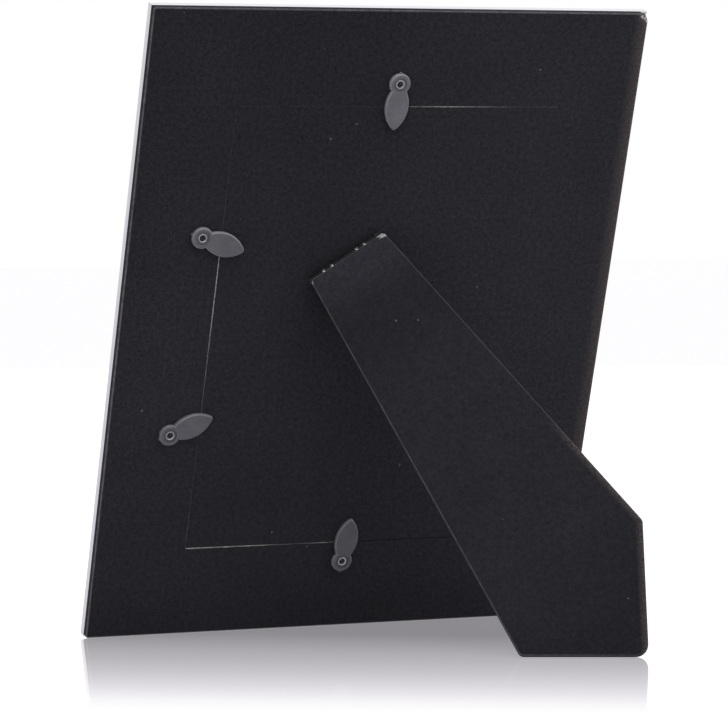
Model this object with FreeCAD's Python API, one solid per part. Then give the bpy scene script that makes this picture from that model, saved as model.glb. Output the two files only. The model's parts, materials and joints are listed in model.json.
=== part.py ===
import FreeCAD, Part
import math
import os

# Easel back photo frame, in millimetres and degrees.
# Each piece is first built in the upright frame: x across, z up, y towards the back,
# with y = 0 on the velvet of the back. The leg's pieces are first built folded flat,
# with the hinge pin along x at the origin and the leg hanging down -z.
# At the end everything leans back onto the opened leg and stands on z = 0.
V = FreeCAD.Vector
CROSSWAYS = V(1, 0, 0)
BACKWARDS = V(0, 1, 0)
UPWARDS = V(0, 0, 1)

# Outer size of the frame
frame_width = 203.2
frame_height = 254.0

# Metal front: a thin shell with a rolled rim, a flat border and a bead at the window
shell_depth = 4.1
shell_wall = 0.6
border_width = 41.0
rim_width = 2.2
rim_radius = 0.9
rim_slope = 0.6
border_recess = 0.4
bead_width = 2.4

# Back: boards under one sheet of velvet
back_depth = 2.5
velvet_skin = 0.4
velvet_edge_radius = 1.0
velvet_corner_radius = 1.3
worn_corner_radius = 4.0

# Picture, glass and the core board that holds them
picture_width = 127.0
picture_height = 177.8
picture_thickness = 0.3
picture_clearance = 0.4
glass_thickness = 2.0
glass_clearance = 0.3
core_clearance = 0.2

# Door: laps over the core board, more on its hinge side
door_lap = 0.3
door_hinge_lap = 4.6
door_gap = 0.5
door_side_margin = 37.4
door_bottom_margin = 36.6

# Turn buttons and their eyelets
button_head_radius = 4.2
button_blade_radius = 12.0
button_blade_half_width = 4.75
button_blade_middle = 8.8
button_tip_radius = 9.0
button_thickness = 1.6
button_bevel = 0.5
button_recess_radius = 2.7
button_recess_depth = 0.5
button_nub_radius = 0.5
button_nub_overhang = 0.5
button_float = 0.15
eyelet_bore_radius = 1.2
eyelet_barrel_radius = 1.5
eyelet_rim_radius = 1.85
eyelet_tail_radius = 2.3
eyelet_tail_thickness = 0.4
eyelet_fit = 0.03
button_running_fit = 0.05
eyelet_rim_gap = 0.1

# Where each button sits: distance out from the door's edge, place along it, and where it points
top_button_out = 9.4
top_button_along = 2.1
top_button_angle = 270.7
bottom_button_out = 8.1
bottom_button_along = 0.25
bottom_button_angle = 95.7
upper_button_out = 8.4
upper_button_along = 127.9
upper_button_angle = 197.4
lower_button_out = 12.5
lower_button_along = 48.0
lower_button_angle = 157.7

# Easel hinge: its place on the back, its slant, and how far it opens
hinge_across = 13.1
hinge_height = 156.2
hinge_slant = 35.0
leg_opening = 45.2
sheet_thickness = 0.5
pin_radius = 0.6
pin_clearance = 0.05
hinge_lift = 0.3
knuckle_gap = 0.5
leaf_length = 13.0
leaf_corner_radius = 2.0
leaf_side_inset = 0.8
leaf_knuckle_clearance = 0.4
stop_tab_width = 2.4
stop_tab_reach = 1.1
stop_tab_side_gap = 0.15
stop_tab_gap = 0.05
rivet_radius = 1.0
rivet_head_radius = 1.9
rivet_head_height = 0.4
rivet_spacing = 10.5
rivet_drop = 8.0

# The knuckles as shares of the hinge's barrel, the door's and the leg's in turn
knuckle_shares = (0.221, 0.122, 0.378, 0.116, 0.163)

# Easel leg: a flared board in velvet. Folded, its foot is parallel to the frame's bottom, and
# its outer side runs down the frame's side, turned out a little towards the toe
leg_top_width = 33.8
leg_heel_flare = 6.4
leg_shoulder_flare = 5.7
leg_top_drop = 0.9
leg_side_inset = 2.9
leg_toe_turn = 1.9
leg_velvet_skin = 0.35
leg_lining_thickness = 0.35
leg_board_thickness = 1.9
leg_edge_radius = 0.6
leg_top_corner_radius = 1.5
leg_shoulder_radius = 3.0
leg_toe_radius = 4.6
leg_heel_radius = 2.5

overrun = 5.0

# Depths worked out from the sizes above, front (most negative) to back
front_face = -(back_depth + shell_depth)
window_seat = front_face + border_recess + shell_wall
board_rear = -velvet_skin
knuckle_bore_radius = pin_radius + pin_clearance
knuckle_radius = knuckle_bore_radius + sheet_thickness
pin_height = knuckle_radius + hinge_lift

# Door and picture opening, in the upright frame
opening_width = picture_width + 2 * picture_clearance
opening_height = picture_height + 2 * picture_clearance
door_left = frame_width / 2 - door_side_margin
door_right = door_left - door_lap - opening_width - door_hinge_lap
door_bottom = door_bottom_margin
door_top = door_bottom + opening_height + 2 * door_lap
opening_left = door_left - door_lap
opening_right = opening_left - opening_width
opening_bottom = door_bottom + door_lap
opening_top = opening_bottom + opening_height

# The leg's foot is cut parallel to the frame's bottom as it lies folded. For that cut to lie
# flat on the table when the leg is open, half the opening and the slant of the hinge set the
# angle that the frame leans at.
sin_slant = math.sin(math.radians(hinge_slant))
cos_slant = math.cos(math.radians(hinge_slant))
sin_open = math.sin(math.radians(leg_opening))
cos_open = math.cos(math.radians(leg_opening))
lean = math.degrees(math.atan(math.tan(math.radians(leg_opening) / 2) * cos_slant))
sin_lean = math.sin(math.radians(lean))
cos_lean = math.cos(math.radians(lean))

# The frame stands on the rounded rear edge of its velvet, so the table lies this far above
# the upright frame's own corner
table_rise = velvet_edge_radius * (sin_lean + cos_lean - 1)


def block(x_low, x_high, y_low, y_high, z_low, z_high):
    corner = V(x_low, y_low, z_low)
    return Part.makeBox(x_high - x_low, y_high - y_low, z_high - z_low, corner)


def rod(radius, y_low, y_high, x=0, z=0):
    return Part.makeCylinder(radius, y_high - y_low, V(x, y_low, z), BACKWARDS)


def bar(radius, x_low, x_high):
    return Part.makeCylinder(radius, x_high - x_low, V(x_low, 0, 0), CROSSWAYS)


def rounded_face(corners, radii):
    """A face in the plane y = 0 with an arc at each corner."""
    count = len(corners)
    arcs = []
    for index, (here, radius) in enumerate(zip(corners, radii)):
        to_before = corners[index - 1] - here
        to_after = corners[(index + 1) % count] - here
        half = to_before.getAngle(to_after) / 2
        to_before.normalize()
        to_after.normalize()
        inwards = to_before + to_after
        inwards.normalize()
        setback = radius / math.tan(half)
        middle = here + inwards * (radius / math.sin(half) - radius)
        arcs.append((here + to_before * setback, middle, here + to_after * setback))
    edges = []
    for index, (start, middle, end) in enumerate(arcs):
        edges.append(Part.Arc(start, middle, end).toShape())
        next_start = arcs[(index + 1) % count][0]
        edges.append(Part.LineSegment(end, next_start).toShape())
    return Part.Face(Part.Wire(edges))


def slab(face, y_low, y_high):
    raised = face.copy()
    raised.translate(V(0, y_low, 0))
    return raised.extrude(V(0, y_high - y_low, 0))


def soften_rear(solid, y_rear, radius):
    """Round the edges that run round the rear face."""
    tolerance = radius / 100
    edges = []
    for edge in solid.Edges:
        box = edge.BoundBox
        if abs(box.YMin - y_rear) < tolerance and abs(box.YMax - y_rear) < tolerance:
            edges.append(edge)
    return solid.makeFillet(radius, edges)


def punch(shape, places, radius, y_low, y_high):
    for x, z in places:
        shape = shape.cut(rod(radius, y_low, y_high, x, z))
    return shape


# Metal front

def shell_profile():
    """Section of one side: across the border in x, depth in y, outer edge at x = 0."""
    border_face = front_face + border_recess
    arc_share = 1 - math.sqrt(0.5)
    bead_start = border_width - bead_width
    outer_rear = V(0, -back_depth, 0)
    outer_front = V(0, front_face + rim_radius, 0)
    corner = V(rim_radius * arc_share, front_face + rim_radius * arc_share, 0)
    rim_start = V(rim_radius, front_face, 0)
    rim_end = V(rim_width, front_face, 0)
    border_start = V(rim_width + rim_slope, border_face, 0)
    border_end = V(bead_start, border_face, 0)
    bead_top = V(bead_start + bead_width / 2, front_face, 0)
    window_front = V(border_width, border_face, 0)
    window_rear = V(border_width, window_seat, 0)
    wall_front = V(shell_wall, window_seat, 0)
    wall_rear = V(shell_wall, -back_depth, 0)
    edges = [
        Part.LineSegment(outer_rear, outer_front).toShape(),
        Part.Arc(outer_front, corner, rim_start).toShape(),
        Part.LineSegment(rim_start, rim_end).toShape(),
        Part.LineSegment(rim_end, border_start).toShape(),
        Part.LineSegment(border_start, border_end).toShape(),
        Part.Arc(border_end, bead_top, window_front).toShape(),
        Part.LineSegment(window_front, window_rear).toShape(),
        Part.LineSegment(window_rear, wall_front).toShape(),
        Part.LineSegment(wall_front, wall_rear).toShape(),
        Part.LineSegment(wall_rear, outer_rear).toShape(),
    ]
    return Part.Face(Part.Wire(edges))


def shell_side(length):
    """One mitred side, lying along z, its outer edge at x = 0 and its middle at z = 0."""
    strip = shell_profile().extrude(UPWARDS * length)
    strip.translate(V(0, 0, -length / 2))
    half = length / 2
    plan = Part.makePolygon([
        V(0, 0, -half),
        V(border_width, 0, border_width - half),
        V(border_width, 0, half - border_width),
        V(0, 0, half),
        V(0, 0, -half),
    ])
    return strip.common(slab(Part.Face(plan), front_face, -back_depth))


def metal_front():
    sides = []
    for turn in (0, 1, 2, 3):
        upright = turn % 2 == 0
        side = shell_side(frame_height if upright else frame_width)
        reach = frame_width / 2 if upright else frame_height / 2
        side.translate(V(-reach, 0, 0))
        side.rotate(V(0, 0, 0), BACKWARDS, 90 * turn)
        side.translate(V(0, 0, frame_height / 2))
        sides.append(side)
    return sides[0].multiFuse(sides[1:]).removeSplitter()


# Boards, glass and picture

def core_board():
    half = frame_width / 2 - shell_wall - core_clearance
    low = shell_wall + core_clearance
    board = block(-half, half, window_seat, -back_depth, low, frame_height - low)
    hole = block(opening_right, opening_left, window_seat - overrun, overrun, opening_bottom, opening_top)
    return board.cut(hole)


def pane(clearance, y_low, y_high):
    return block(
        opening_right + clearance,
        opening_left - clearance,
        y_low,
        y_high,
        opening_bottom + clearance,
        opening_top - clearance,
    )


def glass_pane():
    return pane(glass_clearance, window_seat, window_seat + glass_thickness)


def picture_card():
    front = window_seat + glass_thickness
    return pane(picture_clearance, front, front + picture_thickness)


def back_outline(inset):
    half = frame_width / 2 - inset
    corners = [
        V(-half, 0, inset),
        V(-half, 0, frame_height - inset),
        V(half, 0, frame_height - inset),
        V(half, 0, inset),
    ]
    plain = velvet_corner_radius - inset
    worn = worn_corner_radius - inset
    return rounded_face(corners, [plain, worn, plain, plain])


def door_hole():
    return block(
        door_right - door_gap,
        door_left + door_gap,
        -back_depth - overrun,
        overrun,
        door_bottom - door_gap,
        door_top + door_gap,
    )


def door_block(y_low, y_high):
    return block(door_right, door_left, y_low, y_high, door_bottom, door_top)


def surround_board():
    board = slab(back_outline(velvet_skin), -back_depth, board_rear).cut(door_hole())
    places = [place[:2] for place in button_places().values()]
    board = punch(board, places, eyelet_barrel_radius + eyelet_fit, -back_depth - overrun, overrun)
    tail_top = -back_depth + eyelet_tail_thickness
    return punch(board, places, eyelet_tail_radius + eyelet_fit, -back_depth - overrun, tail_top)


def door_board():
    board = door_block(-back_depth, board_rear)
    return punch(board, door_rivet_places(), rivet_radius, -back_depth - overrun, overrun)


def back_velvet():
    """One sheet over both boards, folded round the edges and slit on three sides of the door."""
    outer = slab(back_outline(0), -back_depth, 0)
    outer = soften_rear(outer, 0, velvet_edge_radius)
    inner = slab(back_outline(velvet_skin), -back_depth - overrun, board_rear)
    sheet = outer.cut(inner)
    strip = block(
        door_right - door_gap - overrun,
        door_right,
        -back_depth - overrun,
        overrun,
        door_bottom - door_gap - overrun,
        door_top + door_gap + overrun,
    )
    slit = door_hole().cut(door_block(-back_depth - overrun, overrun)).cut(strip)
    sheet = sheet.cut(slit)
    button_holes = [place[:2] for place in button_places().values()]
    sheet = punch(sheet, button_holes, eyelet_barrel_radius + eyelet_fit, board_rear - overrun, overrun)
    return punch(sheet, door_rivet_places(), rivet_radius, board_rear - overrun, overrun)


# Turn buttons

def button_places():
    """Each button's x, z and the direction it points, in degrees from +x towards +z."""
    middle = (door_left + door_right) / 2
    return {
        "top_turn_button": (
            middle + top_button_along,
            door_top + top_button_out,
            top_button_angle,
        ),
        "upper_side_turn_button": (
            door_left + upper_button_out,
            door_bottom + upper_button_along,
            upper_button_angle,
        ),
        "lower_side_turn_button": (
            door_left + lower_button_out,
            door_bottom + lower_button_along,
            lower_button_angle,
        ),
        "bottom_turn_button": (
            middle + bottom_button_along,
            door_bottom - bottom_button_out,
            bottom_button_angle,
        ),
    }


def bevelled_disc(radius, x, z):
    """A disc of the button's thickness with its rear edge bevelled."""
    straight = button_thickness - button_bevel
    disc = rod(radius, button_float, button_float + straight, x, z)
    top = V(x, button_float + straight, z)
    bevel = Part.makeCone(radius, radius - button_bevel, button_bevel, top, BACKWARDS)
    return disc.fuse(bevel)


def turn_button(x, z, angle):
    """Round head, leaf blade between two large arcs, blunt tip, and a nub behind the head."""
    side = button_blade_radius - button_blade_half_width
    blade = bevelled_disc(button_blade_radius, button_blade_middle, side)
    blade = blade.common(bevelled_disc(button_blade_radius, button_blade_middle, -side))
    blade = blade.common(bevelled_disc(button_tip_radius, button_tip_radius, 0))
    nub_x = button_nub_radius - button_head_radius - button_nub_overhang
    nub = rod(button_nub_radius, button_float, button_float + button_thickness - button_bevel, nub_x)
    button = bevelled_disc(button_head_radius, 0, 0).fuse([blade, nub]).removeSplitter()
    floor = button_float + button_thickness - button_recess_depth
    button = button.cut(rod(button_recess_radius, floor, floor + overrun))
    button = button.cut(rod(eyelet_barrel_radius + button_running_fit, -overrun, overrun))
    button.rotate(V(0, 0, 0), BACKWARDS, -angle)
    button.translate(V(x, 0, z))
    return button


def eyelet(x, z):
    """Hollow rivet with a rolled rim over the button and a turned tail inside the board."""
    rim_base = button_float + button_thickness - button_recess_depth + eyelet_rim_gap
    rim_roll = (eyelet_rim_radius - eyelet_bore_radius) / 2
    tail_top = -back_depth + eyelet_tail_thickness
    bore_tail = V(eyelet_bore_radius, -back_depth, 0)
    bore_top = V(eyelet_bore_radius, rim_base, 0)
    roll_top = V(eyelet_bore_radius + rim_roll, rim_base + rim_roll, 0)
    rim_edge = V(eyelet_rim_radius, rim_base, 0)
    neck = V(eyelet_barrel_radius, rim_base, 0)
    neck_foot = V(eyelet_barrel_radius, tail_top, 0)
    tail_upper = V(eyelet_tail_radius, tail_top, 0)
    tail_lower = V(eyelet_tail_radius, -back_depth, 0)
    edges = [
        Part.LineSegment(bore_tail, bore_top).toShape(),
        Part.Arc(bore_top, roll_top, rim_edge).toShape(),
        Part.LineSegment(rim_edge, neck).toShape(),
        Part.LineSegment(neck, neck_foot).toShape(),
        Part.LineSegment(neck_foot, tail_upper).toShape(),
        Part.LineSegment(tail_upper, tail_lower).toShape(),
        Part.LineSegment(tail_lower, bore_tail).toShape(),
    ]
    shape = Part.Face(Part.Wire(edges)).revolve(V(0, 0, 0), BACKWARDS, 360)
    shape.translate(V(x, 0, z))
    return shape


def button_eyelets():
    return Part.makeCompound([eyelet(x, z) for x, z, angle in button_places().values()])


# Easel hinge, in the folded leg's frame

def stop_tab_span():
    """The stop tab stands past the barrel's end, at the end of the leg's leaf."""
    low = leaf_side_inset - leg_top_width / 2
    return low, low + stop_tab_width


def knuckle_spans():
    """Ends of each knuckle along x, in turn from the door's first, and whose it is."""
    barrel_high = leg_top_width / 2
    barrel_length = barrel_high - stop_tab_span()[1] - stop_tab_side_gap
    spans = []
    start = barrel_high
    for index, share in enumerate(knuckle_shares):
        end = start - share * barrel_length
        owner = "leg" if index % 2 else "door"
        spans.append((owner, end + knuckle_gap / 2, start - knuckle_gap / 2))
        start = end
    return spans


def pin_span():
    spans = knuckle_spans()
    return spans[-1][1], spans[0][2]


def leaf_plate(y_low, y_high):
    """Flat part of a leaf, with its lower corners rounded."""
    high = leg_top_width / 2 - leaf_side_inset
    top = -(knuckle_radius + leaf_knuckle_clearance)
    corners = [V(-high, 0, top), V(high, 0, top), V(high, 0, -leaf_length), V(-high, 0, -leaf_length)]
    small = leaf_corner_radius / 4
    return slab(rounded_face(corners, [small, small, leaf_corner_radius, leaf_corner_radius]), y_low, y_high)


def rivet_places_on_leaf():
    return [(step * rivet_spacing, -rivet_drop) for step in (-1, 0, 1)]


def hinge_door_leaf():
    """Lies on the velvet. Its knuckles stand up from it on short tails."""
    low = -pin_height
    plate = leaf_plate(low, low + sheet_thickness)
    pieces = []
    for owner, x_low, x_high in knuckle_spans():
        if owner == "door":
            tail_front = -knuckle_radius
            tail_rear = tail_front + sheet_thickness
            plate_top = tail_front - leaf_knuckle_clearance
            pieces.append(bar(knuckle_radius, x_low, x_high))
            pieces.append(block(x_low, x_high, low, 0, tail_front, tail_rear))
            pieces.append(block(x_low, x_high, low, low + sheet_thickness, plate_top - sheet_thickness, tail_rear))
    leaf = plate.multiFuse(pieces).removeSplitter()
    leaf = leaf.cut(bar(knuckle_bore_radius, -leg_top_width, leg_top_width))
    return punch(leaf, rivet_places_on_leaf(), rivet_radius, low - overrun, low + overrun)


def stop_lip_end():
    """How far the stop tab's lip reaches before it meets the velvet at the full opening."""
    return -(pin_height - stop_tab_gap - stop_tab_reach * sin_open) / cos_open


def hinge_leg_leaf():
    """Lies on the leg's lining. Two knuckles, and a bent tab that stops the leg when open."""
    high = knuckle_radius
    low = high - sheet_thickness
    plate = leaf_plate(low, high)
    plate_top = -(knuckle_radius + leaf_knuckle_clearance)
    pieces = []
    for owner, x_low, x_high in knuckle_spans():
        if owner == "leg":
            pieces.append(bar(knuckle_radius, x_low, x_high))
            pieces.append(block(x_low, x_high, low, high, plate_top - sheet_thickness, 0))
    tab_low, tab_high = stop_tab_span()
    lip_front = stop_tab_reach - sheet_thickness
    pieces.append(block(tab_low, tab_high, low, high, plate_top - sheet_thickness, stop_tab_reach))
    pieces.append(block(tab_low, tab_high, stop_lip_end(), high, lip_front, stop_tab_reach))
    leaf = plate.multiFuse(pieces).removeSplitter()
    x_low, x_high = pin_span()
    leaf = leaf.cut(bar(knuckle_bore_radius, x_low, x_high))
    return punch(leaf, rivet_places_on_leaf(), rivet_radius, low - overrun, low + overrun)


def hinge_pin():
    x_low, x_high = pin_span()
    return bar(pin_radius, x_low, x_high)


def rivet(x, z, head_face, head_side, tail):
    """A shank from its head's seat to its tail, with a low head that narrows outwards."""
    shank = rod(rivet_radius, min(head_face, tail), max(head_face, tail), x, z)
    narrow = rivet_head_radius - rivet_head_height / 2
    seat = V(x, head_face, z)
    head = Part.makeCone(rivet_head_radius, narrow, rivet_head_height, seat, BACKWARDS * head_side)
    return shank.fuse(head).removeSplitter()


def hinge_door_rivets():
    """In the hinge's frame, from the leaf through the velvet and the door board."""
    seat = sheet_thickness - pin_height
    tail = -pin_height - back_depth
    return Part.makeCompound([rivet(x, z, seat, 1, tail) for x, z in rivet_places_on_leaf()])


def hinge_leg_rivets():
    seat = knuckle_radius - sheet_thickness
    tail = knuckle_radius + leg_lining_thickness + leg_board_thickness
    return Part.makeCompound([rivet(x, z, seat, -1, tail) for x, z in rivet_places_on_leaf()])


def door_rivet_places():
    """The door's rivets in the upright frame."""
    places = []
    for x, z in rivet_places_on_leaf():
        across = hinge_across + x * cos_slant + z * sin_slant
        up = hinge_height - x * sin_slant + z * cos_slant
        places.append((across, up))
    return places


# Easel leg, in the folded leg's frame

def foot_drop():
    """How far below the pin, measured at its middle, the leg's inner face meets the table."""
    pin_above_table = hinge_height * cos_lean - pin_height * sin_lean - table_rise
    inner_face_rise = sin_open * cos_slant * cos_lean - cos_open * sin_lean
    return (pin_above_table + knuckle_radius * inner_face_rise) / (cos_slant * cos_lean)


def meet(start, direction, normal, offset):
    """Where a line from start reaches the line normal . p = offset."""
    return start + direction * ((offset - normal.dot(start)) / normal.dot(direction))


def turned(direction, angle):
    """A direction in the plane y = 0, turned from +x towards +z."""
    cosine = math.cos(math.radians(angle))
    sine = math.sin(math.radians(angle))
    return V(direction.x * cosine - direction.z * sine, 0, direction.x * sine + direction.z * cosine)


def leg_outline():
    top_left = V(leg_top_width / 2, 0, -leg_top_drop)
    top_right = V(-leg_top_width / 2, 0, -leg_top_drop)
    left_side = turned(-UPWARDS, leg_heel_flare)
    right_side = turned(-UPWARDS, -leg_shoulder_flare)
    foot_normal = V(-sin_slant, 0, cos_slant)
    foot_offset = -foot_drop() * cos_slant
    side_normal = V(cos_slant, 0, sin_slant)
    side_offset = leg_side_inset - frame_width / 2 - hinge_across
    heel = meet(top_left, left_side, foot_normal, foot_offset)
    shoulder = meet(top_right, right_side, side_normal, side_offset)
    toe = meet(shoulder, turned(-foot_normal, -leg_toe_turn), foot_normal, foot_offset)
    radii = [
        leg_top_corner_radius,
        leg_top_corner_radius,
        leg_shoulder_radius,
        leg_toe_radius,
        leg_heel_radius,
    ]
    return rounded_face([top_left, top_right, shoulder, toe, heel], radii)


def leg_inner_outline():
    return leg_outline().makeOffset2D(-leg_velvet_skin)


def leg_velvet():
    inner = knuckle_radius
    outer = inner + leg_lining_thickness + leg_board_thickness + leg_velvet_skin
    cover = soften_rear(slab(leg_outline(), inner, outer), outer, leg_edge_radius)
    return cover.cut(slab(leg_inner_outline(), inner - overrun, outer - leg_velvet_skin))


def leg_board():
    front = knuckle_radius + leg_lining_thickness
    rear = front + leg_board_thickness
    board = slab(leg_inner_outline(), front, rear)
    return punch(board, rivet_places_on_leaf(), rivet_radius, front - overrun, rear + overrun)


def leg_lining():
    front = knuckle_radius
    rear = front + leg_lining_thickness
    lining = slab(leg_inner_outline(), front, rear)
    return punch(lining, rivet_places_on_leaf(), rivet_radius, front - overrun, rear + overrun)


# Placing: open the leg, set the hinge on the back, lean the frame and stand it on the table

def open_leg(shape):
    shape.rotate(V(0, 0, 0), CROSSWAYS, leg_opening)
    return shape


def set_on_back(shape):
    shape.rotate(V(0, 0, 0), BACKWARDS, hinge_slant)
    shape.translate(V(hinge_across, pin_height, hinge_height))
    return shape


def lean_back(shape):
    shape.rotate(V(0, 0, 0), CROSSWAYS, -lean)
    shape.translate(V(0, 0, -table_rise))
    return shape


def build():
    parts = {
        "metal_front": metal_front(),
        "core_board": core_board(),
        "glass_pane": glass_pane(),
        "picture_card": picture_card(),
        "surround_board": surround_board(),
        "door_board": door_board(),
        "back_velvet": back_velvet(),
        "button_eyelets": button_eyelets(),
        "hinge_door_leaf": set_on_back(hinge_door_leaf()),
        "hinge_door_rivets": set_on_back(hinge_door_rivets()),
        "hinge_pin": set_on_back(hinge_pin()),
        "hinge_leg_leaf": set_on_back(open_leg(hinge_leg_leaf())),
        "hinge_leg_rivets": set_on_back(open_leg(hinge_leg_rivets())),
        "leg_board": set_on_back(open_leg(leg_board())),
        "leg_velvet": set_on_back(open_leg(leg_velvet())),
        "leg_lining": set_on_back(open_leg(leg_lining())),
    }
    for name, (x, z, angle) in button_places().items():
        parts[name] = turn_button(x, z, angle)
    parts = {name: lean_back(shape) for name, shape in parts.items()}
    # The origin is the middle of the footprint
    middle = (parts["metal_front"].BoundBox.YMin + parts["leg_velvet"].BoundBox.YMax) / 2
    for shape in parts.values():
        shape.translate(V(0, -middle, 0))
    return parts


PARTS = build()
os.makedirs("parts", exist_ok=True)
for node, shape in PARTS.items():
    shape.exportStep("parts/" + node + ".step")
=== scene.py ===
import json
import math
import random

import bmesh
import bpy
from mathutils import Matrix, Vector


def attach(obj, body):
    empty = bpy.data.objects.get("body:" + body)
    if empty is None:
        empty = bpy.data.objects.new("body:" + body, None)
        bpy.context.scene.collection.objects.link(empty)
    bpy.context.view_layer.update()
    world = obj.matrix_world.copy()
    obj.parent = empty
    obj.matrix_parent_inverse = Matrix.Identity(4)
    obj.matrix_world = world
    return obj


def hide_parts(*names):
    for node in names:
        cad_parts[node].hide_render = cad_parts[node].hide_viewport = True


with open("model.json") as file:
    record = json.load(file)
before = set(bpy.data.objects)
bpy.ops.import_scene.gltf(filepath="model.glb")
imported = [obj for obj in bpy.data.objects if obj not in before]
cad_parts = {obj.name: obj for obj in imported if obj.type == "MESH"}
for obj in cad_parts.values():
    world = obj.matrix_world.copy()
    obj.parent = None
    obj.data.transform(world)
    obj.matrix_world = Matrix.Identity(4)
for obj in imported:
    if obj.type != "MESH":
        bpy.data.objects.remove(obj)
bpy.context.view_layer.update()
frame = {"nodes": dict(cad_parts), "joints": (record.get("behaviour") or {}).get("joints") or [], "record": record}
nodes = frame["nodes"]
joints = {joint["name"]: joint for joint in frame["joints"]}
millimetre = 0.001
WHITE = (1, 1, 1, 1)

# Directions and places that the looks are set by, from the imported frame
back_out = Vector(joints["top_turn_button_pivot"]["axis"])
hinge_line = Vector(joints["leg_hinge"]["axis"])
hinge_place = Vector(joints["leg_hinge"]["pos_m"])
leg_opening = -math.radians(joints["leg_hinge"]["range_deg"][0])
hinge_on_back = Vector((13.1, 1.45, 156.2)) * millimetre


def axes_at(across, outwards, origin):
    """Own axes of a flat piece: x across, y outwards, z up, in metres."""
    turned = Matrix((across, outwards, across.cross(outwards))).transposed()
    return Matrix.Translation(origin) @ turned.to_4x4()


across_back = Vector((1, 0, 0))
turned_back = axes_at(across_back, back_out, (0, 0, 0))
back_place = axes_at(across_back, back_out, hinge_place - turned_back @ hinge_on_back)
leg_out = Matrix.Rotation(leg_opening, 3, hinge_line) @ back_out
leg_place = axes_at(hinge_line, leg_out, hinge_place)
to_metres = Matrix.Scale(millimetre, 4)


# Camera, fitted to the photograph's frame outline, slit and leg

CAMERA_PLACE = (0.599502, 1.367938, 0.178518)
CAMERA_TURN = (87.2531, 0.2731, 156.8183)
CAMERA_LENS = 194.9465
SENSOR_WIDTH = 36.0
NEAREST_SEEN = 0.05
FARTHEST_SEEN = 50


def set_up_camera():
    data = bpy.data.cameras.new("camera")
    data.sensor_fit = "HORIZONTAL"
    data.sensor_width = SENSOR_WIDTH
    data.lens = CAMERA_LENS
    data.clip_start = NEAREST_SEEN
    data.clip_end = FARTHEST_SEEN
    camera = bpy.data.objects.new("camera", data)
    camera.location = CAMERA_PLACE
    camera.rotation_euler = [math.radians(angle) for angle in CAMERA_TURN]
    bpy.context.scene.collection.objects.link(camera)
    bpy.context.scene.camera = camera


# Finishes

# Nearly all of a noise lies between these values
NOISE_LOW = 0.3
NOISE_HIGH = 0.7
NOISE_ROUGHNESS = 0.6
# Scale of the noise that tears the edge of a worn patch, in waves per millimetre
TEAR_SCALE = 1.1


def linear(value):
    """A screen's value, 0 to 255, as the shader's own, by the screen's standard curve."""
    share = value / 255
    return share / 12.92 if share <= 0.04045 else ((share + 0.055) / 1.055) ** 2.4


def tone(red, green, blue):
    """A colour written as it looks on a screen."""
    return (linear(red), linear(green), linear(blue), 1.0)


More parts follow.
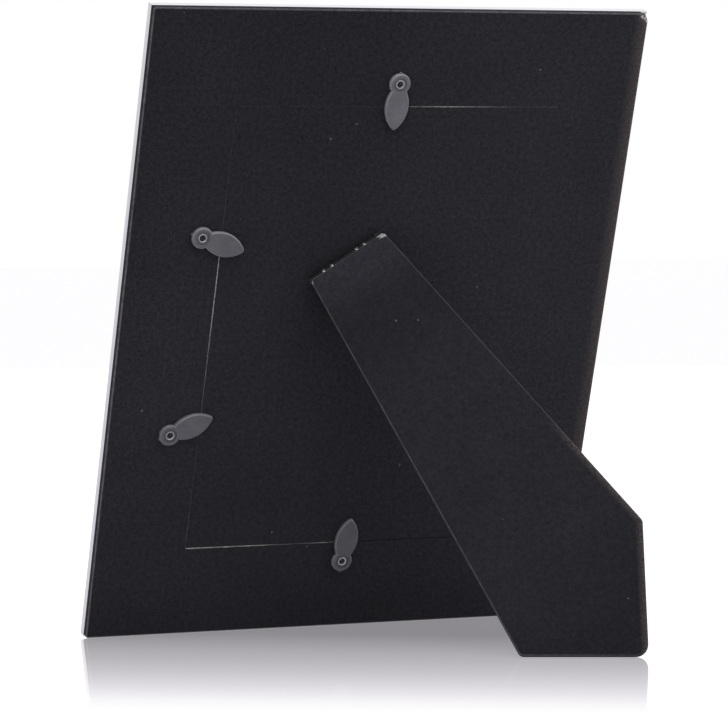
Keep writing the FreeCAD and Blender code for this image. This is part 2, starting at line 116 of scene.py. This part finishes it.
class Finish:
    """A material with short calls for its nodes. Its patterns are measured in millimetres."""

    def __init__(self, name, place=back_place):
        self.material = bpy.data.materials.new(name)
        self.material.use_nodes = True
        self.tree = self.material.node_tree
        self.shader = self.tree.nodes["Principled BSDF"]
        self.coordinates = self.add("ShaderNodeTexCoord")
        back_again = place.inverted()
        mapping = self.add("ShaderNodeMapping")
        mapping.inputs["Scale"].default_value = (1 / millimetre,) * 3
        mapping.inputs["Rotation"].default_value = back_again.to_euler()
        mapping.inputs["Location"].default_value = back_again.to_translation() / millimetre
        self.join(self.coordinates.outputs["Object"], mapping.inputs["Vector"])
        self.spot = mapping.outputs["Vector"]
        parts = self.add("ShaderNodeSeparateXYZ")
        self.join(self.spot, parts.inputs[0])
        self.x, self.y, self.z = parts.outputs

    def add(self, kind, **settings):
        node = self.tree.nodes.new(kind)
        for key, value in settings.items():
            setattr(node, key, value)
        return node

    def join(self, source, socket):
        self.tree.links.new(source, socket)

    def feed(self, socket, value):
        if isinstance(value, bpy.types.NodeSocket):
            self.join(value, socket)
        else:
            socket.default_value = value

    def set(self, **values):
        """Sockets of the shader by name, with _ for a space."""
        for key, value in values.items():
            self.feed(self.shader.inputs[key.replace("_", " ")], value)

    def show(self, shader):
        self.join(shader, self.tree.nodes["Material Output"].inputs["Surface"])

    def stretched(self, scale):
        node = self.add("ShaderNodeMapping")
        node.inputs["Scale"].default_value = scale
        self.join(self.spot, node.inputs["Vector"])
        return node.outputs["Vector"]

    def noise(self, scale, detail=3.0, where=None):
        node = self.add("ShaderNodeTexNoise")
        node.inputs["Scale"].default_value = scale
        node.inputs["Detail"].default_value = detail
        node.inputs["Roughness"].default_value = NOISE_ROUGHNESS
        self.join(where or self.spot, node.inputs["Vector"])
        return node.outputs["Fac"]

    def cells(self, scale, where=None):
        node = self.add("ShaderNodeTexVoronoi")
        node.inputs["Scale"].default_value = scale
        self.join(where or self.spot, node.inputs["Vector"])
        return node.outputs["Distance"]

    def ramp(self, value, low, high, out_low=0.0, out_high=1.0):
        node = self.add("ShaderNodeMapRange")
        node.clamp = True
        self.feed(node.inputs["Value"], value)
        node.inputs["From Min"].default_value = low
        node.inputs["From Max"].default_value = high
        node.inputs["To Min"].default_value = out_low
        node.inputs["To Max"].default_value = out_high
        return node.outputs["Result"]

    def spread(self, noise, out_low=0.0, out_high=1.0):
        """A noise opened out to the whole of a range."""
        return self.ramp(noise, NOISE_LOW, NOISE_HIGH, out_low, out_high)

    def curve(self, value, points):
        """Straight lines between points (value, result), by a ramp of greys."""
        low, high = points[0][0], points[-1][0]
        node = self.add("ShaderNodeValToRGB")
        self.join(self.ramp(value, low, high), node.inputs["Fac"])
        stops = node.color_ramp.elements
        while len(stops) < len(points):
            stops.new(0.5)
        for stop, (position, result) in zip(stops, points):
            stop.position = (position - low) / (high - low)
            stop.color = (result, result, result, 1)
        return node.outputs["Color"]

    def math(self, operation, first, second=0.0):
        node = self.add("ShaderNodeMath", operation=operation)
        self.feed(node.inputs[0], first)
        self.feed(node.inputs[1], second)
        return node.outputs[0]

    def size_of(self, value):
        return self.math("ABSOLUTE", value)

    def total(self, first, second):
        return self.math("ADD", first, second)

    def difference(self, first, second):
        return self.math("SUBTRACT", first, second)

    def product(self, first, *others):
        for other in others:
            first = self.math("MULTIPLY", first, other)
        return first

    def most(self, first, *others):
        for other in others:
            first = self.math("MAXIMUM", first, other)
        return first

    def mix(self, share, first, second):
        """A colour mix. Its colour sockets share their names with others, so they go by number."""
        node = self.add("ShaderNodeMix", data_type="RGBA")
        self.feed(node.inputs["Factor"], share)
        self.feed(node.inputs[6], first)
        self.feed(node.inputs[7], second)
        return node.outputs[2]

    def mix_values(self, share, first, second):
        node = self.add("ShaderNodeMix", data_type="FLOAT")
        self.join(share, node.inputs[0])
        self.join(first, node.inputs[2])
        self.join(second, node.inputs[3])
        return node.outputs[0]

    def mix_shaders(self, share, first, second):
        node = self.add("ShaderNodeMixShader")
        self.join(share, node.inputs["Fac"])
        self.join(first.outputs[0], node.inputs[1])
        self.join(second.outputs[0], node.inputs[2])
        return node

    def scaled(self, colour, factor):
        node = self.add("ShaderNodeVectorMath", operation="SCALE")
        self.feed(node.inputs[0], colour)
        self.feed(node.inputs["Scale"], factor)
        return node.outputs[0]

    def along(self, direction, vector=None):
        node = self.add("ShaderNodeVectorMath", operation="DOT_PRODUCT")
        self.join(vector or self.spot, node.inputs[0])
        node.inputs[1].default_value = direction
        return node.outputs["Value"]

    def facing(self, direction):
        """How far a surface faces a direction: 1 straight on, 0 side on."""
        return self.along(direction, self.coordinates.outputs["Normal"])

    def from_line(self, across, up, offset):
        """Distance in from a straight edge of a flat piece."""
        return self.total(self.along((across, 0, up)), offset)

    def near(self, point, reach, fade, ragged):
        """A ragged round patch about a point."""
        node = self.add("ShaderNodeVectorMath", operation="DISTANCE")
        self.join(self.spot, node.inputs[0])
        node.inputs[1].default_value = point
        edge = self.spread(self.noise(TEAR_SCALE, detail=2.0), -ragged, ragged)
        distance = self.total(node.outputs["Value"], edge)
        return self.ramp(distance, reach, reach + fade, 1.0, 0.0)

    def bump(self, height, depth):
        """Relief from a height of 0 to 1 and a depth in millimetres."""
        node = self.add("ShaderNodeBump")
        node.inputs["Distance"].default_value = depth * millimetre
        node.inputs["Strength"].default_value = 1.0
        self.join(height, node.inputs["Height"])
        return node.outputs["Normal"]


# Velvet

PILE_DARK = tone(25, 24, 28)
PILE_LIGHT = tone(45, 44, 50)
# Painted highlight on the velvet's rounded edges
PILE_EDGE_HIGHLIGHT = tone(98, 95, 100)
PILE_SHEEN = tone(190, 188, 196)
LINT = tone(112, 110, 114)
# Painted glow at some velvet edges: the dark and light ends of its mottle
PAINTED_GLOW = (tone(50, 46, 47), tone(104, 95, 92))
BARE_BOARD = (tone(104, 101, 101), tone(190, 187, 186))
# Half the span of the grain that runs from the dark to the light pile, about its middle of 1
GRAIN_SPAN = 0.32

# Painted light and shade on the back's pile, as shares of its tone along the back's height and width: darker
# towards the bottom and the top, and lighter towards the side at x = -101.6. Worked out from the photograph's and
# a render's tones, sampled over a grid by scratch programs
BACK_PAINTED_SHADING_UP = (
    (0, 0.8), (10, 0.81), (25, 0.95), (45, 0.98), (70, 0.98), (105, 1.03),
    (135, 1.0), (150, 0.96), (180, 0.91), (205, 0.85), (254, 0.82),
)
BACK_PAINTED_SHADING_ACROSS = (
    (-101.6, 1.26), (-88, 1.18), (-70, 1.22), (-35, 1.14),
    (0, 1.05), (30, 0.96), (78, 1.03), (101.6, 0.99),
)
# Painted glow along the back's side at x = -101.6, as shares of the glow's tone by distance across
SIDE_GLOW = ((-101.7, 1.0), (-101.2, 0.8), (-100.4, 0.5), (-98.5, 0.28), (-95.5, 0.0))
# The corner beside it, where the painted glow turns round at 0.7, and the pale sliver where the velvet is worn off
# there
GLOW_CORNER = (-100.6, 0, 252.8)
WORN_SLIVER = ((-98.7, 0, 252.6), (-99.9, 0, 251.9), (-101.1, 0, 251.0))

# Painted light and shade along the leg's length, from its foot up to its hinge, as shares of the pile's tone:
# darkest at the foot and lightest at the hinge, worked out from sampled tones in the same way
LEG_PAINTED_SHADING = (
    (-175, 0.66), (-165, 0.77), (-150, 0.83), (-135, 0.92), (-105, 0.86), (-90, 0.92),
    (-60, 0.9), (-46, 0.84), (-36, 0.75), (-28, 0.73), (-20, 0.8), (-15, 0.92),
    (-10, 1.12), (-6, 1.15), (-2, 1.32), (0, 1.36),
)
LEG_CONTRAST = 0.6
# The leg's worn corner with its tail along the top edge, and the nick in its other corner
LEG_CORNER = (-16.4, 3.75, -0.3)
LEG_CORNER_TAIL = (-14.1, 3.75, -0.8)
LEG_NICK = (18.0, 3.75, -1.7)
LEG_WEAR = 0.86
# Straight edges of the leg with a painted glow along them: inward direction across and up, and offset
FLARED_SIDE = (0.9952, -0.0977, 16.73)
TOE_EDGE = (0.8377, 0.5463, 107.7)


def cover_with_velvet(finish, painted_shading, edge, wear_and_glow, bare, contrast=1.0):
    """Short black pile. Painted light and shade lighten or darken it; its rounded edges take a painted highlight,
    some edges a painted glow, and bare spots are pale.
    """
    grain = finish.total(finish.noise(1.5, detail=2.0), finish.noise(0.62, detail=2.0))
    span = GRAIN_SPAN / contrast
    colour = finish.mix(finish.ramp(grain, 1 - span, 1 + span), PILE_DARK, PILE_LIGHT)
    clouds = finish.spread(finish.noise(0.03), 0.92, 1.08)
    # Painted light and shade: the pile's tone scaled by place, with random clouds
    colour = finish.scaled(colour, finish.product(painted_shading, clouds))
    uneven = finish.ramp(finish.noise(0.35), 0.3, 0.65, 0.45, 1.0)
    # Painted highlight on the rounded edges, uneven along them
    colour = finish.mix(finish.product(edge, uneven), colour, PILE_EDGE_HIGHLIGHT)
    lint = finish.cells(0.16, where=finish.stretched((1, 1, 0.7)))
    lint = finish.ramp(lint, 0.035, 0.07, 1.0, 0.0)
    rare = finish.ramp(finish.noise(0.06, detail=0.0), 0.6, 0.64)
    colour = finish.mix(finish.product(lint, rare, 0.55), colour, LINT)
    mottle = finish.ramp(finish.noise(1.3), 0.35, 0.68)
    # Painted glow along some edges, mottled
    colour = finish.mix(wear_and_glow, colour, finish.mix(mottle, *PAINTED_GLOW))
    colour = finish.mix(bare, colour, finish.mix(mottle, *BARE_BOARD))
    finish.set(Base_Color=colour, Roughness=1.0, Specular_IOR_Level=0.1)
    finish.set(Sheen_Weight=0.1, Sheen_Roughness=0.4, Sheen_Tint=PILE_SHEEN)
    finish.set(Normal=finish.bump(finish.noise(3.2), 0.12))
    return finish.material


def edge_highlight_share(finish, out):
    """The rounded edges, where a painted highlight goes: strongest where the surface is half turned from out."""
    face = finish.facing(out)
    return finish.product(finish.ramp(face, 0.3, 0.6), finish.ramp(face, 0.86, 0.985, 1.0, 0.0))


def back_velvet_finish():
    """Velvet of the back, with painted light and shade, a painted highlight on its edges, a painted glow along one
    side and round its upper corner, and a sliver worn off at that corner.
    """
    finish = Finish("back_velvet_pile")
    up = finish.curve(finish.z, BACK_PAINTED_SHADING_UP)
    across = finish.curve(finish.x, BACK_PAINTED_SHADING_ACROSS)
    # The painted highlight on the rounded edges is weaker along the top edge
    top_highlight_share = finish.ramp(finish.z, 250, 252.5, 1.0, 0.7)
    edge = finish.product(edge_highlight_share(finish, back_out), top_highlight_share)
    # Painted glow along the side at x = -101.6 and round the corner beside it
    side = finish.curve(finish.x, SIDE_GLOW)
    corner = finish.near(GLOW_CORNER, 2.0, 2.4, 1.0)
    sliver = finish.most(*(finish.near(spot, 0.42, 0.45, 0.2) for spot in WORN_SLIVER))
    wear_and_glow = finish.most(side, finish.product(corner, 0.7))
    return cover_with_velvet(finish, finish.product(up, across), edge, wear_and_glow, sliver)


def leg_velvet_finish():
    """Velvet of the leg, with painted light and shade, a painted highlight on its edges, a painted glow along two
    straight edges, and worn to the board at its upper corner.
    """
    finish = Finish("leg_velvet_pile", leg_place)
    # Painted light and shade along the leg
    painted_shading = finish.curve(finish.z, LEG_PAINTED_SHADING)
    # The painted highlight on the rounded edges is stronger towards +x
    lit_side = finish.ramp(finish.x, -5, 20, 0.35, 0.75)
    edge = finish.product(edge_highlight_share(finish, leg_out), lit_side)
    corner = finish.near(LEG_CORNER, 2.35, 0.35, 0.35)
    tail = finish.near(LEG_CORNER_TAIL, 0.6, 0.3, 0.1)
    nick = finish.near(LEG_NICK, 1.4, 0.25, 0.1)
    worn = finish.product(finish.most(corner, tail, nick), LEG_WEAR)
    # Painted glow along the flared side and the toe
    flare = finish.ramp(finish.from_line(*FLARED_SIDE), 0.0, 2.6, 0.6, 0.0)
    flare = finish.product(flare, finish.ramp(finish.z, -112, -96, 1.0, 0.0))
    toe = finish.ramp(finish.from_line(*TOE_EDGE), 0.0, 2.4, 0.5, 0.0)
    return cover_with_velvet(finish, painted_shading, edge, finish.most(flare, toe), worn, LEG_CONTRAST)


# Cloth, board, plastic, metal, glass and card

# Painted shade on the buttons by their height on the back, darker towards the bottom, and how strong the painted
# highlight on their bevelled edges is there
BUTTON_PAINTED_SHADE = ((20, 0.72), (90, 0.82), (165, 0.9), (225, 1.1))
BUTTON_BEVEL_HIGHLIGHT = ((20, 0.75), (60, 0.7), (82, 0.4), (110, 0.55), (150, 0.8), (225, 0.65))
# Half the metal front's width and height, for its mitred corners
HALF_WIDTH = 101.6
HALF_HEIGHT = 127.0
# Painted light down in an eyelet's bore, fading out between these heights over the velvet
BORE_DEPTH = (0.8, 1.5)
# Where the hinge's knuckles meet, across the leg
KNUCKLE_JOINTS = (10.17, 6.46, -5.05, -8.59)
GLASS_TINT = tone(254, 254, 254)


def lining_finish():
    """Thin black cloth with a plain weave."""
    finish = Finish("lining_cloth", leg_place)
    warp = finish.noise(2.2, where=finish.stretched((0.25, 1, 1)))
    weft = finish.noise(2.2, where=finish.stretched((1, 1, 0.25)))
    weave = finish.ramp(finish.total(warp, weft), 0.75, 1.25)
    colour = finish.mix(weave, tone(24, 24, 26), tone(40, 40, 43))
    finish.set(Base_Color=colour, Roughness=0.95, Specular_IOR_Level=0.15)
    finish.set(Normal=finish.bump(weave, 0.08))
    return finish.material


def board_finish():
    """Grey-brown pressed board with paler and darker fibres."""
    finish = Finish("pressed_board")
    fibres = finish.noise(0.9, detail=5.0, where=finish.stretched((1, 1, 0.45)))
    patches = finish.ramp(finish.noise(0.045, detail=2.0), 0.35, 0.65, 0.0, 0.4)
    colour = finish.mix(finish.spread(fibres), tone(122, 106, 88), tone(190, 174, 152))
    colour = finish.mix(patches, colour, tone(116, 102, 88))
    finish.set(Base_Color=colour, Roughness=0.9, Specular_IOR_Level=0.2)
    finish.set(Normal=finish.bump(fibres, 0.15))
    return finish.material


def frayed_edge_finish():
    """The cut edge in the slit: dark pile tone to pale raw board tone by its bare share, which carries the board's
    paleness together with painted light falling into the slit.
    """
    finish = Finish("frayed_slit")
    share = finish.add("ShaderNodeAttribute", attribute_name="bare").outputs["Fac"]
    fibres = finish.noise(1.4, detail=4.0)
    pale = finish.mix(finish.spread(fibres), tone(146, 142, 142), tone(206, 202, 202))
    dark = finish.mix(finish.spread(fibres), tone(26, 25, 28), tone(40, 39, 43))
    finish.set(Base_Color=finish.mix(share, dark, pale), Roughness=0.95)
    finish.set(Specular_IOR_Level=0.1, Normal=finish.bump(fibres, 0.1))
    return finish.material


def plastic_finish():
    """Charcoal moulded plastic: eggshell flats, with painted shade by height and a painted highlight on the
    bevelled edges.
    """
    finish = Finish("button_plastic")
    skin = finish.noise(1.6)
    rub = finish.ramp(finish.noise(0.2), 0.35, 0.7)
    colour = finish.mix(rub, tone(73, 73, 80), tone(84, 84, 91))
    face = finish.facing(back_out)
    off_side = finish.ramp(face, 0.05, 0.4, 0.6, 1.0)
    bevels = finish.product(off_side, finish.ramp(face, 0.8, 0.97, 1.0, 0.0))
    bevel_highlight = finish.curve(finish.z, BUTTON_BEVEL_HIGHLIGHT)
    # Painted highlight on the bevels
    colour = finish.mix(finish.product(bevels, bevel_highlight), colour, tone(118, 117, 125))
    # Painted shade, darker lower on the back
    colour = finish.scaled(colour, finish.curve(finish.z, BUTTON_PAINTED_SHADE))
    specks = finish.ramp(finish.cells(0.8), 0.06, 0.12, 0.35, 0.0)
    colour = finish.mix(specks, colour, tone(140, 140, 146))
    finish.set(Base_Color=colour, Roughness=finish.spread(skin, 0.42, 0.58))
    finish.set(Specular_IOR_Level=0.45, Normal=finish.bump(skin, 0.03))
    return finish.material


def polished_finish():
    """Bright metal, drawn along each side up to the mitred corners."""
    finish = Finish("polished_metal")
    from_side = finish.difference(HALF_WIDTH, finish.size_of(finish.x))
    from_middle = finish.size_of(finish.difference(finish.z, HALF_HEIGHT))
    from_end = finish.difference(HALF_HEIGHT, from_middle)
    past_mitre = finish.difference(from_end, from_side)
    on_upright = finish.ramp(past_mitre, -0.05, 0.05)
    along_x = finish.noise(2.6, where=finish.stretched((0.02, 1, 1)))
    along_z = finish.noise(2.6, where=finish.stretched((1, 1, 0.02)))
    lines = finish.mix_values(on_upright, along_x, along_z)
    colour = finish.mix(finish.spread(lines), tone(190, 189, 195), tone(208, 207, 212))
    seam = finish.ramp(finish.size_of(past_mitre), 0.05, 0.16, 1.0, 0.0)
    colour = finish.mix(finish.product(seam, 0.55), colour, tone(120, 119, 124))
    haze = finish.spread(finish.noise(0.06), 0.16, 0.24)
    rough = finish.total(haze, finish.spread(lines, 0.0, 0.05))
    finish.set(Base_Color=colour, Metallic=1.0, Roughness=rough)
    finish.set(Normal=finish.bump(lines, 0.01))
    return finish.material


def eyelet_finish():
    """Dull nickel, paler down in the bore with painted light."""
    finish = Finish("eyelet_metal")
    wear = finish.noise(0.9)
    touched = finish.ramp(wear, 0.35, 0.65)
    colour = finish.mix(touched, tone(116, 116, 122), tone(156, 156, 162))
    bore_painted_light = finish.ramp(finish.y, *BORE_DEPTH, 1.0, 0.0)
    # Painted light down in the bore
    colour = finish.mix(bore_painted_light, colour, tone(172, 172, 178))
    finish.set(Base_Color=colour, Metallic=0.8, Roughness=finish.spread(wear, 0.34, 0.46))
    return finish.material


def lacquered_finish():
    """Black lacquer over sheet steel, bare and bright on the cut ends."""
    finish = Finish("black_lacquer", leg_place)
    ends = finish.ramp(finish.size_of(finish.facing(hinge_line)), 0.85, 0.97)
    wear_and_glow = []
    for joint in KNUCKLE_JOINTS:
        from_joint = finish.size_of(finish.difference(finish.x, joint))
        wear_and_glow.append(finish.ramp(from_joint, 0.35, 0.6, 0.8, 0.0))
    patchy = finish.ramp(finish.noise(0.9, detail=2.0), 0.42, 0.56)
    bare = finish.most(ends, finish.product(finish.most(*wear_and_glow), patchy))
    skin = finish.noise(1.8)
    lacquer = finish.mix(finish.spread(skin), tone(15, 15, 17), tone(27, 27, 30))
    colour = finish.mix(bare, lacquer, tone(190, 189, 188))
    rough = finish.total(finish.spread(skin, 0.5, 0.66), finish.product(bare, -0.2))
    finish.set(Base_Color=colour, Metallic=finish.product(bare, 0.9), Roughness=rough)
    finish.set(Specular_IOR_Level=0.12, Normal=finish.bump(skin, 0.02))
    return finish.material


def bare_steel_finish():
    """Drawn steel wire, with fine lines."""
    finish = Finish("bare_steel", leg_place)
    lines = finish.noise(3.0, where=finish.stretched((0.1, 1, 1)))
    colour = finish.mix(finish.spread(lines), tone(150, 150, 152), tone(196, 196, 197))
    finish.set(Base_Color=colour, Metallic=0.95, Roughness=finish.spread(lines, 0.28, 0.42))
    return finish.material


def glass_finish():
    """Clear float glass with the faintest ripple. Light on its way to a surface passes it."""
    finish = Finish("clear_glass")
    ripple = finish.noise(0.03, detail=1.0)
    finish.set(Base_Color=GLASS_TINT, IOR=1.5, Transmission_Weight=1.0)
    finish.set(Roughness=finish.spread(ripple, 0.005, 0.03))
    open_way = finish.add("ShaderNodeBsdfTransparent")
    open_way.inputs["Color"].default_value = GLASS_TINT
    ray = finish.add("ShaderNodeLightPath").outputs
    light = finish.most(ray["Is Shadow Ray"], ray["Is Diffuse Ray"])
    finish.show(finish.mix_shaders(light, finish.shader, open_way).outputs[0])
    return finish.material


def card_finish():
    """Plain card with short soft fibres."""
    finish = Finish("plain_card")
    fibres = finish.noise(0.8, detail=5.0)
    colour = finish.mix(finish.spread(fibres), tone(216, 212, 203), tone(238, 236, 229))
    finish.set(Base_Color=colour, Roughness=0.8, Normal=finish.bump(fibres, 0.05))
    return finish.material


def dress_nodes():
    """Gives each solid its own finish, or the one of its slot in the record."""
    finishes = {
        "polished_metal": polished_finish(),
        "board": board_finish(),
        "glass": glass_finish(),
        "card": card_finish(),
        "black_velvet": back_velvet_finish(),
        "lining": lining_finish(),
        "eyelet_metal": eyelet_finish(),
        "hinge_steel": lacquered_finish(),
        "button_plastic": plastic_finish(),
    }
    own = {"leg_velvet": leg_velvet_finish(), "hinge_pin": bare_steel_finish()}
    for part in frame["record"]["subparts"]:
        mesh = nodes[part["node"]].data
        mesh.materials.clear()
        mesh.materials.append(own.get(part["node"], finishes[part["material_slot"]]))


def add_on_back(name, shape, material):
    """A new object from a shape in millimetres along the back's own axes."""
    bmesh.ops.transform(shape, matrix=back_place @ to_metres, verts=shape.verts)
    bmesh.ops.recalc_face_normals(shape, faces=shape.faces)
    data = bpy.data.meshes.new(name)
    shape.to_mesh(data)
    shape.free()
    data.materials.append(material)
    piece = bpy.data.objects.new(name, data)
    bpy.context.scene.collection.objects.link(piece)
    return piece


def block_at(shape, middle, size):
    place = Matrix.Translation(middle) @ Matrix.Diagonal((*size, 1))
    bmesh.ops.create_cube(shape, size=1, matrix=place)


# The frayed cut round the door

DOOR_SIDE = 64.45
DOOR_TOP = 216.05
DOOR_FOOT = 36.35
HINGE_SIDE = -68.4
CORNER_GAP = 0.5
FRAY_WIDTH = 0.46
FRAY_DEPTH = 0.9
FRAY_STEP = 0.9
# How far the board lies under the velvet's face, and how deep its edge is notched
FRAY_SUNK = 0.08
FRAY_NOTCH = 0.22
# How far its sides lean in or out, and how unevenly it is bare
FRAY_LEAN = (-0.05, 0.03)
FRAY_UNEVEN = (0.7, 1.25)
FRAY_SEED = 5
# How bright the cut looks along its length, as tones from the closed pile up to raw board: the board's paleness
# together with painted light falling into the slit. They began as the photograph's own tones, sampled along the
# slit, and some were then changed
ALONG_TOP = (
    (-67, 60), (-49, 58), (-41, 80), (-32, 100), (-23, 121),
    (-12, 95), (-5, 80), (7, 50), (64, 48),
)
ALONG_SIDE = (
    (37, 58), (80, 54), (97, 67), (105, 77), (115, 84), (118, 95),
    (130, 118), (140, 130), (150, 124), (158, 116), (161, 52), (216, 48),
)
ALONG_FOOT = (
    (-67, 36), (-11, 38), (0, 70), (7, 110), (14, 76), (20, 66), (26, 85),
    (32, 115), (38, 125), (44, 135), (51, 135), (57, 148), (64, 148),
)
CLOSED = linear(38)
OPEN = linear(150)


def bare_share(points, spot):
    """The share of pale board at a spot, from a table of tones."""
    for (before, first), (after, second) in zip(points, points[1:]):
        if spot <= after:
            share = max(0.0, (spot - before) / (after - before))
            return (linear(first + (second - first) * share) - CLOSED) / (OPEN - CLOSED)
    return 0.0


def fray_strip(chance, start, end, points):
    """One thin strip along a cut, roughened along its length and given its share of bare board."""
    strip = bmesh.new()
    bare = strip.verts.layers.float.new("bare")
    run = 0 if start[2] == end[2] else 2
    size = [FRAY_WIDTH, FRAY_DEPTH, FRAY_WIDTH]
    size[run] = end[run] - start[run]
    middle = (Vector(start) + Vector(end)) / 2
    block_at(strip, middle, size)
    long_edges = [edge for edge in strip.edges if edge.calc_length() > size[run] / 2]
    cuts = int(size[run] / FRAY_STEP)
    bmesh.ops.subdivide_edges(strip, edges=long_edges, cuts=cuts)
    for vert in strip.verts:
        if vert.co.y > middle.y:
            vert.co.y -= chance.uniform(0.0, FRAY_NOTCH)
        vert.co[2 - run] += chance.uniform(*FRAY_LEAN)
        share = bare_share(points, vert.co[run]) * chance.uniform(*FRAY_UNEVEN)
        vert[bare] = min(1.0, max(0.0, share))
    return strip


def make_slit_fray():
    """The board's ragged edge in the slit: along the top, the free side and the foot."""
    chance = random.Random(FRAY_SEED)
    depth = -FRAY_SUNK - FRAY_DEPTH / 2
    side_foot, side_top = DOOR_FOOT + CORNER_GAP, DOOR_TOP - CORNER_GAP
    cuts = (
        ((HINGE_SIDE, depth, DOOR_TOP), (DOOR_SIDE, depth, DOOR_TOP), ALONG_TOP),
        ((DOOR_SIDE, depth, side_foot), (DOOR_SIDE, depth, side_top), ALONG_SIDE),
        ((HINGE_SIDE, depth, DOOR_FOOT), (DOOR_SIDE, depth, DOOR_FOOT), ALONG_FOOT),
    )
    carrier = bpy.data.meshes.new("strip")
    whole = bmesh.new()
    for start, end, points in cuts:
        strip = fray_strip(chance, start, end, points)
        strip.to_mesh(carrier)
        strip.free()
        whole.from_mesh(carrier)
    bpy.data.meshes.remove(carrier)
    piece = add_on_back("slit_fray", whole, frayed_edge_finish())
    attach(piece, "frame")


# The window's pane, with ground edges and clear of the card behind it

PANE_CLEARANCE = 0.06
GROUND_EDGE = 0.25


def corners_on_back(node):
    """A node's lowest and highest corner along the back's own axes, in millimetres."""
    to_back = back_place.inverted() @ nodes[node].matrix_world
    spots = [(to_back @ vert.co) / millimetre for vert in nodes[node].data.vertices]
    low = Vector([min(spot[axis] for spot in spots) for axis in range(3)])
    high = Vector([max(spot[axis] for spot in spots) for axis in range(3)])
    return low, high


def make_window_pane():
    low, high = corners_on_back("glass_pane")
    low.y += PANE_CLEARANCE / 2
    high.y -= PANE_CLEARANCE
    pane = bmesh.new()
    block_at(pane, (low + high) / 2, high - low)
    bmesh.ops.bevel(
        pane, geom=list(pane.edges), offset=GROUND_EDGE, segments=1, profile=0.5,
        affect="EDGES", material=-1,
    )
    piece = add_on_back("window_pane", pane, nodes["glass_pane"].data.materials[0])
    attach(piece, "frame")
    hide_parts("glass_pane")


# Floor, backdrop and light

FLOOR_HALF = 6.0
FLOOR_WHITE = 1.07
FLOOR_WHITE_SHARE = 0.85
FLOOR_MATTE = (0.82, 0.82, 0.82, 1)
FLOOR_TINT = (0.975, 0.936, 1.0, 1)
FLOOR_TINTED_FROM = 0.25
FLOOR_POLISH = 0.03
# The floor's shine fades towards the camera, along this direction: places in mm, shares mirrored.
# The shares come from the photograph's tones row by row, the places from a scratch program
SHINE_DIRECTION = (0.494, 0.876, 0)
SHINE_POINTS = (
    (-31, 0.73), (2, 0.646), (27.5, 0.582), (52, 0.531), (87.4, 0.43), (121, 0.305),
    (153.3, 0.156), (163.7, 0.106), (184, 0.045), (213.3, 0.009), (234.5, 0.0),
)
ROOM_LIGHT = 0.55
ROOM_SEEN = 1.0
# Name, place and aim in metres, size in metres, and power in watts
SOFTBOXES = (
    ("overhead_softbox", (0.3, 0.9, 1.6), (0, 0, 0.1), (1.6, 1.2), 22),
    ("side_softbox", (-1.5, 1.0, 0.9), (0, 0, 0.12), (1.0, 1.2), 8),
    ("front_softbox", (-0.7, -1.6, 0.9), (0, 0, 0.12), (2.2, 2.0), 4),
)


def seen_share(tree):
    """1 for what is seen, straight or in gloss or through glass, and 0 for what lights things."""
    ray = tree.nodes.new("ShaderNodeLightPath")
    seen = ray.outputs["Is Camera Ray"]
    for kind in ("Is Glossy Ray", "Is Transmission Ray"):
        either = tree.nodes.new("ShaderNodeMath")
        either.operation = "MAXIMUM"
        tree.links.new(seen, either.inputs[0])
        tree.links.new(ray.outputs[kind], either.inputs[1])
        seen = either.outputs[0]
    return seen


def make_floor():
    """A white floor that keeps shadows and mirrors the object, less and less towards the front."""
    bpy.ops.mesh.primitive_plane_add(size=2 * FLOOR_HALF)
    floor = bpy.context.object
    floor.name = "floor"
    finish = Finish("floor", Matrix.Identity(4))
    finish.tree.nodes.remove(finish.shader)
    shine = finish.curve(finish.along(SHINE_DIRECTION), SHINE_POINTS)
    white = finish.add("ShaderNodeEmission")
    tinted = finish.mix(finish.ramp(shine, 0.0, FLOOR_TINTED_FROM), WHITE, FLOOR_TINT)
    finish.join(tinted, white.inputs["Color"])
    white.inputs["Strength"].default_value = FLOOR_WHITE
    matte = finish.add("ShaderNodeBsdfDiffuse")
    matte.inputs["Color"].default_value = FLOOR_MATTE
    mirror = finish.add("ShaderNodeBsdfGlossy")
    mirror.inputs["Roughness"].default_value = FLOOR_POLISH
    mirror.inputs["Color"].default_value = WHITE
    white_share = finish.product(seen_share(finish.tree), FLOOR_WHITE_SHARE)
    ground = finish.mix_shaders(white_share, matte, white)
    straight = finish.add("ShaderNodeLightPath").outputs["Is Camera Ray"]
    polished = finish.mix_shaders(finish.product(shine, straight), ground, mirror)
    finish.show(polished.outputs[0])
    floor.data.materials.append(finish.material)


def make_world():
    """A white room that is seen white and lights softly."""
    world = bpy.data.worlds.new("studio")
    bpy.context.scene.world = world
    world.use_nodes = True
    tree = world.node_tree
    strength = tree.nodes.new("ShaderNodeMapRange")
    tree.links.new(seen_share(tree), strength.inputs["Value"])
    strength.inputs["To Min"].default_value = ROOM_LIGHT
    strength.inputs["To Max"].default_value = ROOM_SEEN
    back = tree.nodes["Background"]
    back.inputs["Color"].default_value = WHITE
    tree.links.new(strength.outputs["Result"], back.inputs["Strength"])


def add_softbox(name, place, aim, size, power):
    data = bpy.data.lights.new(name, "AREA")
    data.shape = "RECTANGLE"
    data.size, data.size_y = size
    data.energy = power
    light = bpy.data.objects.new(name, data)
    light.location = place
    towards = Vector(aim) - Vector(place)
    light.rotation_euler = towards.to_track_quat("-Z", "Y").to_euler()
    bpy.context.scene.collection.objects.link(light)


set_up_camera()
dress_nodes()
make_slit_fray()
make_window_pane()
make_floor()
make_world()
for softbox in SOFTBOXES:
    add_softbox(*softbox)
bpy.context.scene.view_settings.view_transform = "Standard"
